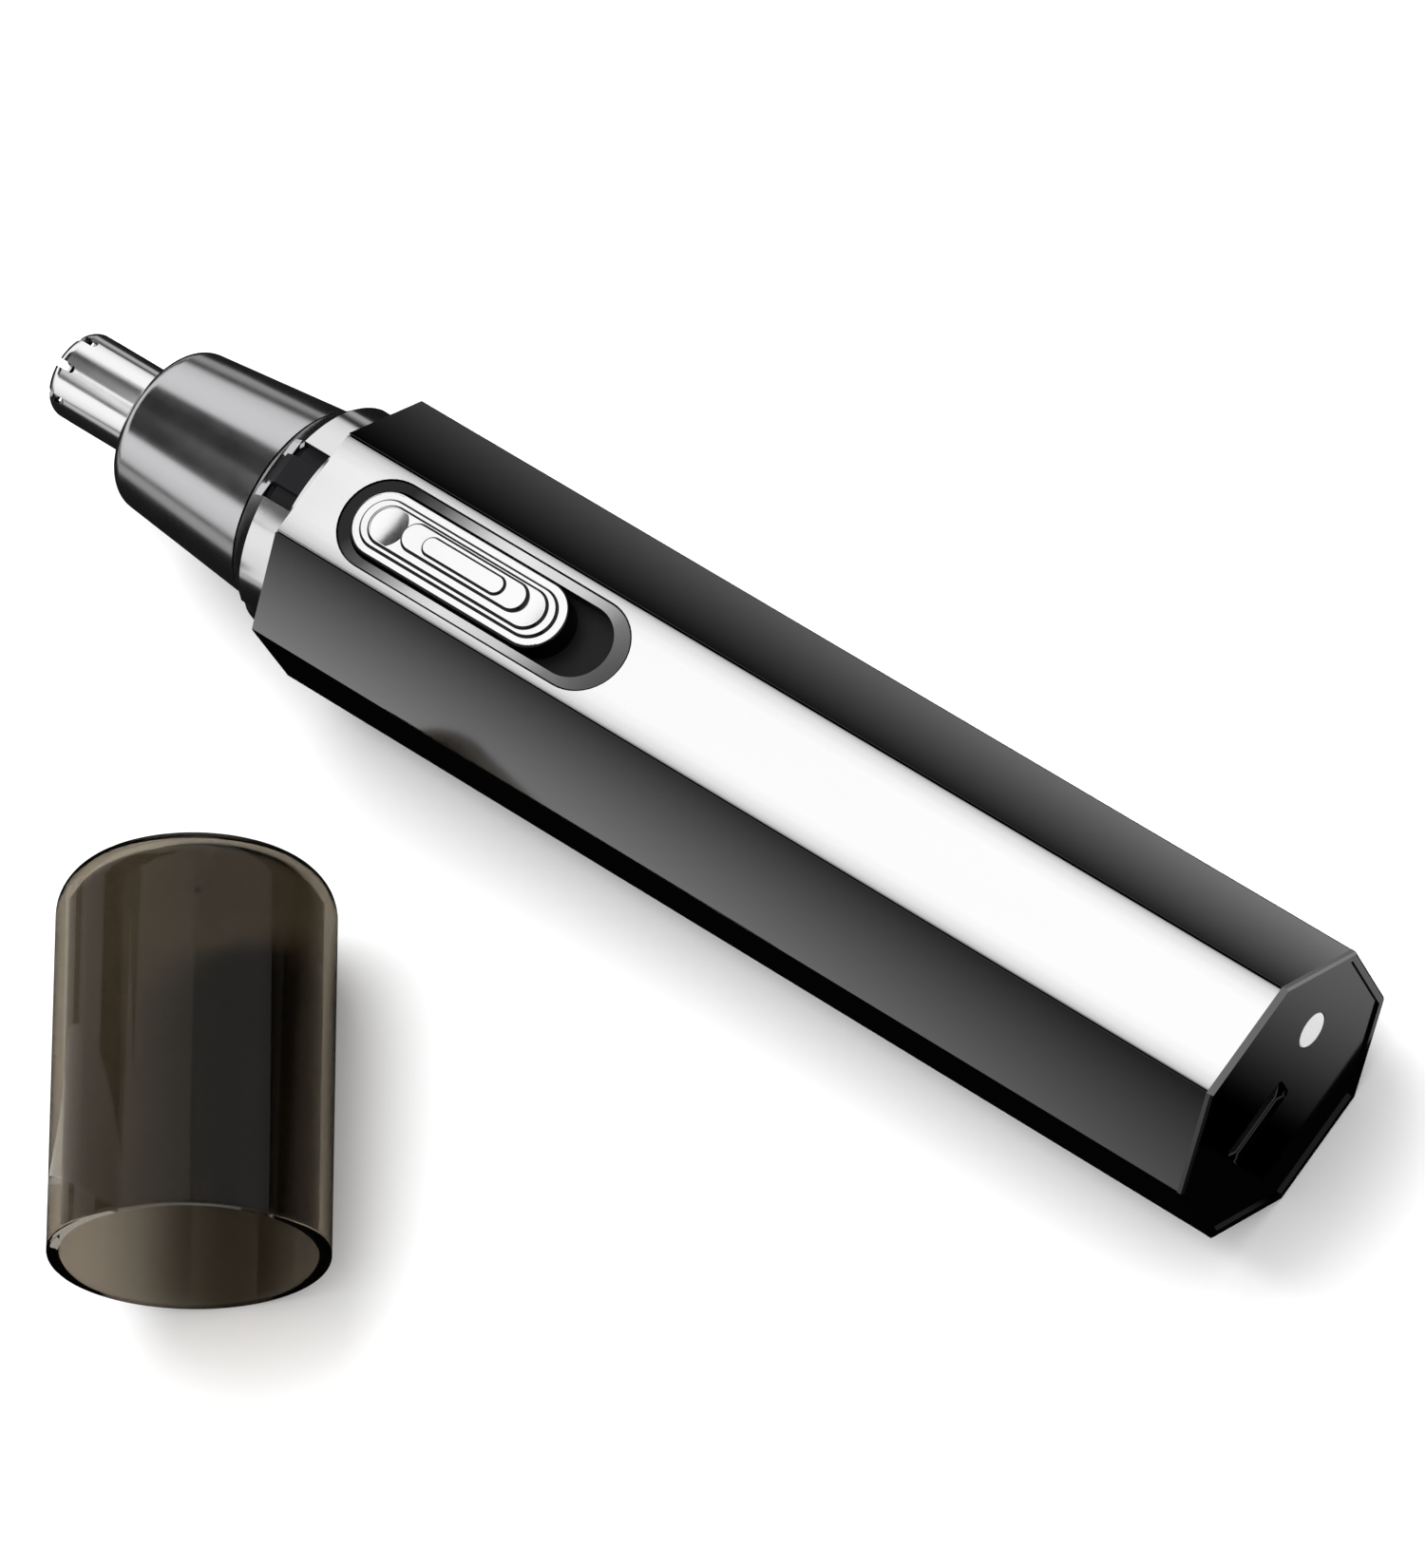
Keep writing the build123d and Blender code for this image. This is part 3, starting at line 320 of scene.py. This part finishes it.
def glow(name, level, fade=None):
    """Plain emitting surface, black at level 0; fade is (axis, from, to), falling from level to 0."""
    material = bpy.data.materials.new(name)
    material.use_nodes = True
    nodes, links = material.node_tree.nodes, material.node_tree.links
    nodes.clear()
    out = nodes.new("ShaderNodeOutputMaterial")
    emission = nodes.new("ShaderNodeEmission")
    emission.inputs["Color"].default_value = (1, 1, 1, 1)
    emission.inputs["Strength"].default_value = level
    links.new(emission.outputs["Emission"], out.inputs["Surface"])
    if fade:
        axis, start, end = fade
        coordinates = nodes.new("ShaderNodeTexCoord")
        split = nodes.new("ShaderNodeSeparateXYZ")
        ramp = nodes.new("ShaderNodeMapRange")
        ramp.interpolation_type = "SMOOTHSTEP"
        for key, value in (("From Min", start), ("From Max", end), ("To Min", level), ("To Max", 0)):
            ramp.inputs[key].default_value = value
        links.new(coordinates.outputs["Object"], split.inputs["Vector"])
        links.new(split.outputs[axis], ramp.inputs["Value"])
        links.new(ramp.outputs["Result"], emission.inputs["Strength"])
    return material


def card(name, middle, size, level, turn=(0, 0, 0), fade=None):
    """Studio card that only reflections see; middle and size in millimetres, turn in degrees."""
    spot = Vector(middle) * MM
    made = plane(name, spot, (size[0] * MM, size[1] * MM), glow(name, level, fade))
    made.rotation_euler = [math.radians(angle) for angle in turn]
    made.visible_camera = False
    made.visible_diffuse = False
    made.visible_shadow = False
    made.visible_transmission = False
    return made


def make_cards():
    card("floor_right", (25, -230, 1), (450, 340), 1.45, fade=("X", -0.12, 0.17))
    card("floor_head_right", (145, -72, 1), (110, 76), 0.45)
    card("floor_head_left", (155, 120, 1), (130, 150), 0.5)
    card("floor_base", (-86, -25, 1), (66, 60), 1.4, fade=("Y", 0.008, 0.026))
    card("wall_left", (-12, 62, 58), (196, 96), 0.95, (90, 0, 0), ("X", 0.1, -0.1))
    card("flag_cone", (455, 65, 300), (330, 470), 0)
    card("flag_tube", (266, -100, 300), (50, 280), 0)
    card("flag_collar", (231, 165, 300), (38, 170), 0)


def make_world():
    world = bpy.data.worlds.new("studio")
    bpy.context.scene.world = world
    world.use_nodes = True
    nodes, links = world.node_tree.nodes, world.node_tree.links
    background = nodes["Background"]
    coordinates = nodes.new("ShaderNodeTexCoord")
    split = nodes.new("ShaderNodeSeparateXYZ")
    ramp = nodes.new("ShaderNodeValToRGB")
    links.new(coordinates.outputs["Generated"], split.inputs["Vector"])
    links.new(split.outputs["Z"], ramp.inputs["Fac"])
    links.new(ramp.outputs["Color"], background.inputs["Color"])
    elements = ramp.color_ramp.elements
    for index, (position, level) in enumerate(SKY):
        stop = elements[index] if index < 2 else elements.new(position)
        stop.position = position
        stop.color = (level, level, level, 1)
    background.inputs["Strength"].default_value = 1.0


def make_floor():
    made = Shader("floor_paper", (0.93, 0.93, 0.93), 0.9)
    made.vary_color(6, 0.004)
    floor = plane("floor", (0, 0, 0), FLOOR_SIZE, made.material)
    floor.visible_glossy = False
    return floor


def make_light(name, place, aim, size, power):
    data = bpy.data.lights.new(name, "AREA")
    data.shape = "RECTANGLE"
    data.size, data.size_y = size
    data.energy = power
    light = bpy.data.objects.new(name, data)
    light.location = place
    light.rotation_euler = (Vector(place) - Vector(aim)).to_track_quat("Z", "Y").to_euler()
    light.visible_glossy = False
    bpy.context.scene.collection.objects.link(light)
    return light


make_camera()
make_world()
make_floor()
make_cards()
dress_nodes()
make_light("overhead", (0.45, -0.17, 0.85), BODY_MIDDLE, (0.9, 0.7), 9)

bpy.context.scene.view_settings.view_transform = "Standard"
